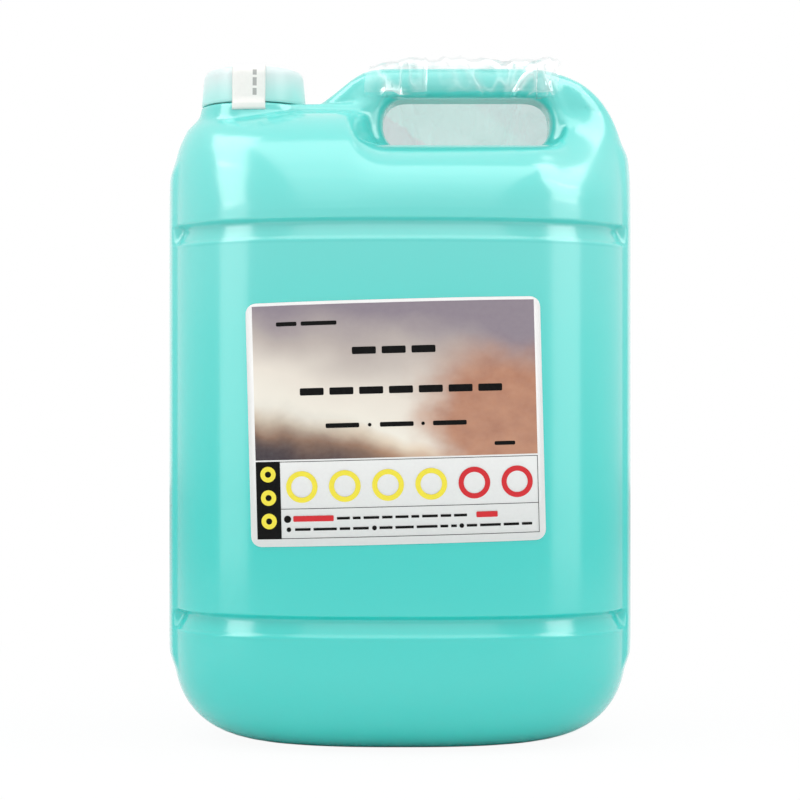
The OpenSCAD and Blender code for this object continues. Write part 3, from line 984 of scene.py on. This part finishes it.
# %% Dark print
PRINT_BARS = (
    # across from, across to, height of the middle, thickness
    (-45, -37, 38.5, 1.6), (-35.4, -21.6, 38.5, 1.6),
    (-16, -6.8, 27.6, 2.8), (-4.6, 4.6, 27.6, 2.8), (6.8, 16, 27.6, 2.8),
    (-36.4, -27.2, 12.3, 2.8), (-25, -15.8, 12.3, 2.8), (-13.6, -4.4, 12.3, 2.8),
    (-2.2, 7, 12.3, 2.8), (9.2, 18.4, 12.3, 2.8), (20.6, 29.8, 12.3, 2.8),
    (32, 41.2, 12.3, 2.8),
    (-26.8, -13.9, -0.9, 1.8), (-6, 6.9, -0.9, 1.8), (14.3, 27.2, -0.9, 1.8),
    (37.7, 45.7, -9.2, 1.5))
SMALL_PRINT = ((-23.4, 29, 7.6, (5, 3, 6, 4)), (-39.6, -11, 3.6, (6, 9, 4)),
               (-7.2, 22.4, 3.6, (5, 7, 8, 3)), (26.2, 52, 3.6, (4, 8, 6)))
SMALL_DOTS = ((-42.4, 7.6, 1.4), (-42, 3.6, 0.9), (-9.1, 3.6, 0.9), (24.3, 3.6, 0.9))
black = Finish("black_print", Roughness=0.5, IOR=1.45, Specular_IOR_Level=0.04)
spot = black.place()[3]
black.put(black.shader.inputs["Base Color"],
          black.blend(black.noise(spot, 900, 2), (0.004, 0.004, 0.004), (0.012, 0.012, 0.012)))


def flat_disc(work, x, z, radius):
    spots = [Vector((x + radius * math.cos(math.tau * i / 20), 0,
                     z + radius * math.sin(math.tau * i / 20))) for i in range(20)]
    close_ring(work, start_ring(work, spots))


def word_row(work, start, end, up, lengths):
    """A row of short bars, as long as words, between two places."""
    here, number = start, 0
    while here + 2 < end:
        word = min(lengths[number % len(lengths)], end - here)
        flat_box(work, here, here + word, LOW_Z + up - 0.5, LOW_Z + up + 0.5, 0.15)
        here, number = here + word + 1.1, number + 1


work = bmesh.new()
for x0, x1, middle, thick in PRINT_BARS:
    flat_box(work, x0, x1, middle - thick / 2, middle + thick / 2, 0.5)
for row in SMALL_PRINT:
    word_row(work, *row)
for across, up, radius in SMALL_DOTS:
    flat_disc(work, across, LOW_Z + up, radius)
for across in (-9.9, 10.5):
    flat_disc(work, across, -0.9, 0.7)
flat_box(work, -INNER_W / 2, PANEL_X0, LOW_Z, PICTURE_Z0 - 0.6)
for up in (0.1, 11.4, PANEL_H - 0.9):
    flat_box(work, PANEL_X0, INNER_W / 2, LOW_Z + up, LOW_Z + up + RULE_T)
flat_box(work, INNER_W / 2 - RULE_T, INNER_W / 2, LOW_Z + 0.1, PICTURE_Z0 - 0.7)
ink_piece("label_dark_print", work, INK_OFF + INK_STEP, black, "black_print", "label_black_print")


# %% Yellow and red rings
def flat_ring(work, x, z, outer, inner):
    """A flat ring: a circle pulled inwards once."""
    steps = 32
    spots = [Vector((x + outer * math.cos(math.tau * i / steps), 0,
                     z + outer * math.sin(math.tau * i / steps))) for i in range(steps)]
    ring = start_ring(work, spots)
    middle = Vector((x, 0, z))
    pull_ring(work, ring, [middle + (spot - middle) * inner / outer for spot in spots])


def ring_print(name, colour, numbers, node, slot, dots=(), bars=()):
    finish = Finish(name + "_ink", Roughness=0.4, IOR=1.45)
    spot = finish.place()[3]
    darker = [value * 0.9 for value in colour]
    finish.put(finish.shader.inputs["Base Color"],
               finish.blend(finish.noise(spot, 900, 2), colour, darker))
    work = bmesh.new()
    for number in numbers:
        across = PANEL_X0 + (number + 0.5) * MARK_PITCH
        flat_ring(work, across, MARK_Z, RING_OUTER, RING_INNER)
    for x, z, outer in dots:
        flat_ring(work, x, z, outer, outer * 0.4)
    for start, end, up in bars:
        flat_box(work, start, end, LOW_Z + up - 1.1, LOW_Z + up + 1.1, 0.4)
    ink_piece(name, work, INK_OFF + 2 * INK_STEP, finish, slot, node)


strip_dots = [(-INNER_W / 2 + BLACK_W / 2, PICTURE_Z0 - 5.5 - 9 * row, 3.0) for row in range(3)]
ring_print("label_yellow_rings", (0.86, 0.74, 0.05), range(4), "label_yellow_marks",
           "yellow_print", strip_dots)
ring_print("label_red_rings", (0.62, 0.012, 0.02), (4, 5), "label_red_marks", "red_print",
           bars=((-40.2, -24.6, 7.7), (30, 38.2, 7.7)))

# %% [markdown]
# ## The clear wrap on the grip
# A thin clear film is wound round the grip bar and hangs behind the finger hole. Crumpled film
# shows as bright creases and pale patches with clear parts between them. It is a real folded
# sheet here: a row of edges is pulled once round the bar and down behind it, and then each
# point is pushed out by a pattern of creases.

# %% The film's path over the bar
FILM_X0, FILM_X1 = -13.0, 65.5
FILM_SPAN = FILM_X1 - FILM_X0
FLAP_X0, FLAP_X1 = -9.5, 62.5
FILM_LOW = 242.0
# How far the film stands above the bar, in mm, at places along it
FILM_CREST = ((-13, 0.8), (-7, 2.2), (-2, 3.4), (5, 4.9), (12, 3.8), (22, 4.9), (32, 3.8),
              (42, 2.3), (47, 4.2), (57, 3.8), (64, 3.8), (66, 2.2))


def crest_at(x):
    for (x0, high0), (x1, high1) in zip(FILM_CREST, FILM_CREST[1:]):
        if x <= x1:
            return mix(high0, high1, smooth((x - x0) / (x1 - x0)))
    return FILM_CREST[-1][1]


def film_path():
    """The path across the bar: from the front's lower edge over the top and down the back."""
    half, high, r = HALF_GRIP + 0.5, BODY_H + 0.3, BAR_ROUND + 0.5
    path = [(-half + 4.0, HOLE_Z1 - 0.6), (-half + 1.4, HOLE_Z1 - 0.2), (-half, HOLE_Z1 + 2),
            (-half, high - r)]
    for side in (-1, 1):
        for step in range(1, 10):
            t = math.radians(180 - 10 * step if side < 0 else 90 - 10 * step)
            path.append((side * (half - r) + r * math.cos(t), high - r + r * math.sin(t)))
    return path + [(half, HOLE_Z1 + 1), (half + 0.6, 252), (half + 0.8, FILM_LOW)]


print("the film covers", FILM_SPAN, "mm of the bar, on a path of", len(film_path()), "points")

# %% [markdown]
# Film doesn't stretch, so it folds along sharp lines with flat patches between them. A noise
# that is folded at its zero line makes such ridges. The folds run mostly round the bar, they
# are deep near both ends of the wrap and shallow between, and the height of each ridge is
# kept as an attribute, so that the finish can paint highlights on the creases.

# %% Crumpled film
# The two crumpled stretches, by their middle and reach along the bar, and the calm between
LEFT_CRUMPLE, LEFT_REACH, RIGHT_CRUMPLE, RIGHT_REACH = -1, 11, 51, 19
CALM = 0.16
FILM_PITCH, FILM_COLUMNS = 0.6, 150
FILM_MID_X, STRAIGHT_HALF, RAGGED = 26, 30, 0.06


def ridge(x, along, wide, long, seed):
    """1 on a crease and 0 away from it."""
    bend = noise.noise(Vector((x * 0.05, along * 0.04, seed + 5)))
    value = noise.noise(Vector((x / wide + 0.8 * bend, along / long, seed)))
    return (1 - min(1.0, abs(value) * 2.8)) ** 2


def film_folds(x, along):
    """How far the place is crumpled, and the heights of its coarse and fine creases."""
    left, right = (x - LEFT_CRUMPLE) / LEFT_REACH, (x - RIGHT_CRUMPLE) / RIGHT_REACH
    crumpled = CALM + (1 - CALM) * min(1.0, math.exp(-left * left) + math.exp(-right * right))
    coarse = ridge(x, along, 11, 26, 1.7)
    fine = ridge(x, along, 5.5, 12, 8.3)
    return crumpled, coarse, fine


def pull_sheet(work, start, path, count):
    """A sheet that grows from one row of edges along a path of Y and Z."""
    spots = [work.verts.new((mix(*start, i / count), *path[0])) for i in range(count + 1)]
    line = [work.edges.new(pair) for pair in zip(spots, spots[1:])]
    layer = work.verts.layers.float.new("along")
    length = 0.0
    for before, after in zip(path, path[1:]):
        length += math.dist(before, after)
        made = bmesh.ops.extrude_edge_only(work, edges=line)["geom"]
        fresh = {item for item in made if isinstance(item, bmesh.types.BMVert)}
        line = [item for item in made if isinstance(item, bmesh.types.BMEdge)
                and all(vert in fresh for vert in item.verts)]
        for vert in fresh:
            vert.co.y, vert.co.z = after
            vert[layer] = length
    return layer, length


def finely(path, pitch):
    fine = []
    for before, after in zip(path, path[1:]):
        pieces = max(1, round(math.dist(before, after) / pitch))
        fine += [tuple(mix(a, b, i / pieces) for a, b in zip(before, after))
                 for i in range(pieces)]
    return fine + [path[-1]]


film_work = bmesh.new()
along_layer, film_length = pull_sheet(film_work, (FILM_X0, FILM_X1),
                                      finely(film_path(), FILM_PITCH), FILM_COLUMNS)
crease_highlight_layer = film_work.verts.layers.float.new("crease")
for vertex in film_work.verts:
    x, y, z = vertex.co
    along = vertex[along_layer]
    crumpled, coarse, fine = film_folds(x, along)
    outward = Vector((0, y, z - 262)).normalized()
    on_top = smooth((outward.z - 0.25) / 0.6)
    push = crumpled * (coarse * 1.8 + fine * 0.7) * (1 - 0.6 * on_top) + crest_at(x) * on_top
    push += (coarse - 0.3) * 0.6 * on_top
    if z < HOLE_Z1:
        outward = Vector((0, math.copysign(1, y), 0))
        push = 0.4 * push if y < 0 else push + 1.2 * noise.noise(Vector((x * 0.06, z * 0.1, 2.2)))
    vertex[crease_highlight_layer] = clamp(crumpled * (coarse * 0.8 + fine * 0.5))
    ragged = RAGGED * abs(x - FILM_MID_X) if abs(x - FILM_MID_X) > STRAIGHT_HALF else 0
    vertex.co.x += ragged * noise.noise(Vector((0.3, along * 0.16, 7.7)))
    if y > 0:
        narrow = smooth((HOLE_Z1 + 4 - z) / 8)
        vertex.co.x = mix(vertex.co.x, mix(FLAP_X0, FLAP_X1, (x - FILM_X0) / FILM_SPAN), narrow)
    vertex.co = (vertex.co + outward * max(0.0, push)) * MM
bmesh.ops.recalc_face_normals(film_work, faces=film_work.faces)
print("film:", len(film_work.faces), "faces,", round(film_length, 1), "mm from edge to edge")

# %% [markdown]
# Clear film sends back a little of the light like a mirror and lets the rest through, so it is
# a mirror-like finish with a low alpha that rises at grazing angles and on creases, where the
# higher alpha paints highlights. The flap behind the finger hole is hazier, and its grey-mint
# and mint colours are painted light: the mint plastic round the hole, seen through and
# reflected in the film. The sheet's flat size is its place on the bar and a spare share for the
# crumples.

# %% Finish of the film
clear = Finish("clear_film", Roughness=0.1, IOR=1.45)
x, y, z, spot = clear.place()
facing = clear.node("ShaderNodeLayerWeight", {}, {"Blend": 0.3}, "Facing")
crease = clear.node("ShaderNodeAttribute", {"attribute_name": "crease"}, {}, "Fac")
flap = clear.fade(y, 0.012, 0.015) * (1 - clear.fade(z, 0.262, 0.267))
# Painted light: the flap's grey-mint and mint colours stand for the mint plastic seen through and
# reflected in the film; the haze is the film's own.
border = x * 0.8 + z + (clear.noise(spot, 90, 3) - 0.5) * 0.006
painted_mint_patch = clear.fade(border, 0.2515, 0.2535) * (1 - clear.fade(border, 0.284, 0.290) * 0.5)
haze = clear.noise(spot, 75, 2) * 0.3
flap_colour = clear.blend(haze, clear.blend(painted_mint_patch, (0.36, 0.62, 0.66), (0.22, 0.98, 0.90)),
                          (0.86, 0.98, 0.95))
clear.put(clear.shader.inputs["Base Color"], clear.blend(flap, (0.93, 0.96, 0.96), flap_colour))
clear.put(clear.shader.inputs["Metallic"], 0.9 - flap * 0.9)
# Painted highlight: the alpha rises on the creases, so more of the mirror-like reflection shows
# there.
shine = 0.04 + facing * 0.2 + crease * 0.55
clear.put(clear.shader.inputs["Alpha"], shine * (1 - flap) + flap * (0.42 + haze * 0.4))
film = add_object("grip_film", film_work, clear)
hand_over(film, "clear_film", "grip_wrap")
SPARE_ALONG, SPARE_ROUND = 1.08, 1.14
FILM_FLAT = (FILM_SPAN * SPARE_ALONG * MM, film_length * SPARE_ROUND * MM)
print("film, cut flat:", [round(side, 3) for side in FILM_FLAT])

# %% [markdown]
# ## Floor and background
# The pack stands on a pale, plain floor in front of a white background. The camera sees both
# as nearly white, while the light on the pack stays at a plain level. The floor keeps a soft
# shadow, so the pack doesn't float.

# %% Floor
work = bmesh.new()
bmesh.ops.create_grid(work, x_segments=2, y_segments=2, size=4)
floor_finish = Finish("pale_floor", Base_Color=(0.86, 0.86, 0.86), Roughness=0.9)
path_node = floor_finish.tree.nodes.new("ShaderNodeLightPath")
seen = Wire(floor_finish, path_node.outputs["Is Camera Ray"])
white = floor_finish.node("ShaderNodeEmission", {}, {"Color": (1, 1, 1), "Strength": 1.0})
floor_mix = floor_finish.tree.nodes.new("ShaderNodeMixShader")
spot = floor_finish.place()[3]
away = floor_finish.node("ShaderNodeVectorMath", {"operation": "LENGTH"}, {0: spot}, 1)
clean = 0.94 + floor_finish.fade(away, 0.1, 0.45) * 0.06
floor_finish.put(floor_mix.inputs[0], seen * clean)
floor_finish.tree.links.new(floor_finish.shader.outputs[0], floor_mix.inputs[1])
floor_finish.tree.links.new(white.socket, floor_mix.inputs[2])
floor_finish.tree.links.new(floor_mix.outputs[0], floor_finish.output.inputs[0])
floor = add_object("floor", work, floor_finish)
print("floor laid")

# %% World
DIFFUSE_LEVEL = 0.66
world = bpy.data.worlds.new("studio")
bpy.context.scene.world = world
world.use_nodes = True
studio = world.node_tree
path_node = studio.nodes.new("ShaderNodeLightPath")
seen = studio.nodes.new("ShaderNodeMath")
seen.operation = "MAXIMUM"
studio.links.new(path_node.outputs["Is Camera Ray"], seen.inputs[0])
both = studio.nodes.new("ShaderNodeMath")
both.operation = "MAXIMUM"
studio.links.new(path_node.outputs["Is Transmission Ray"], both.inputs[0])
studio.links.new(path_node.outputs["Is Glossy Ray"], both.inputs[1])
studio.links.new(both.outputs[0], seen.inputs[1])
level = studio.nodes.new("ShaderNodeMix")
level.inputs[2].default_value = DIFFUSE_LEVEL
level.inputs[3].default_value = 1.0
studio.links.new(seen.outputs[0], level.inputs[0])
studio.links.new(level.outputs[0], studio.nodes["Background"].inputs["Strength"])
studio.nodes["Background"].inputs["Color"].default_value = (1, 1, 1, 1)
print("the world lights the pack at", DIFFUSE_LEVEL, "and shows as white")

# %% [markdown]
# ## Lights
# A tall soft box stands on each side in front of the pack, and two leaning ones go on from its
# top to above the pack. They give the two upright bands of light on the front corners and the
# bright lines on the shoulders. Five wide soft boxes make an arch over the middle, brighter
# from the front to the top, so that the shoulder is bright and the bottom stays darker.

# %% Soft boxes
AIM_Z, LAMP_REACH = 0.2, 1.25
AIM = Vector((0, 0, AIM_Z))
CORNER_TURN = math.radians(30)
# Angles over the horizon from one edge of a box to the other, and its radiance
TOP_BOXES = ((12, 26, 0.26), (26, 40, 0.5), (40, 56, 0.75), (56, 74, 1.1), (74, 98, 1.3))
TOP_BOX_W = 1.1


def soft_box(name, place, aim, long_way, width, length, radiance):
    """An area light whose brightness is given as seen, so its power follows from its size."""
    lamp = bpy.data.lights.new(name, "AREA")
    lamp.shape = "RECTANGLE"
    lamp.size, lamp.size_y = width, length
    lamp.energy = radiance * math.pi * width * length
    box = bpy.data.objects.new(name, lamp)
    box.location = place
    back = (Vector(place) - Vector(aim)).normalized()
    across = Vector(long_way).cross(back).normalized()
    turn = Matrix((across, back.cross(across), back)).transposed()
    box.rotation_euler = turn.to_euler()
    bpy.context.collection.objects.link(box)
    print(name, "sends out", round(lamp.energy, 2), "W")


def arch_way(side, tilt):
    """The way in which a skin that faces 30 degrees aside, tilted up by an angle, shines."""
    rise = math.radians(tilt)
    flat = math.cos(CORNER_TURN) * math.cos(rise)
    aside = 2 * flat * math.sin(CORNER_TURN) * math.cos(rise)
    return Vector((side * aside, 1 - 2 * flat * flat, 2 * flat * math.sin(rise)))


def arch_box(name, side, low, high, width, radiance):
    """A soft box that leans over the pack, so that it shines on from one tilt to another."""
    start, end = arch_way(side, low) * LAMP_REACH, arch_way(side, high) * LAMP_REACH
    soft_box(name, (start + end) / 2 + AIM, AIM, end - start, width, (end - start).length,
             radiance)


for side, name in ((-1, "left"), (1, "right")):
    arch_box(name + "_strip", side, -10, 10, 0.46, 1.25)
    arch_box(name + "_leaning_box", side, 9, 30, 0.38, 2.7)
    arch_box(name + "_high_box", side, 29, 47, 0.36, 2.5)
for number, (low, high, radiance) in enumerate(TOP_BOXES):
    start, end = [Vector((0, -LAMP_REACH * math.cos(t), AIM_Z + LAMP_REACH * math.sin(t)))
                  for t in (math.radians(low), math.radians(high))]
    soft_box("top_box_" + str(number), (start + end) / 2, AIM, (1, 0, 0), (end - start).length,
             TOP_BOX_W, radiance)
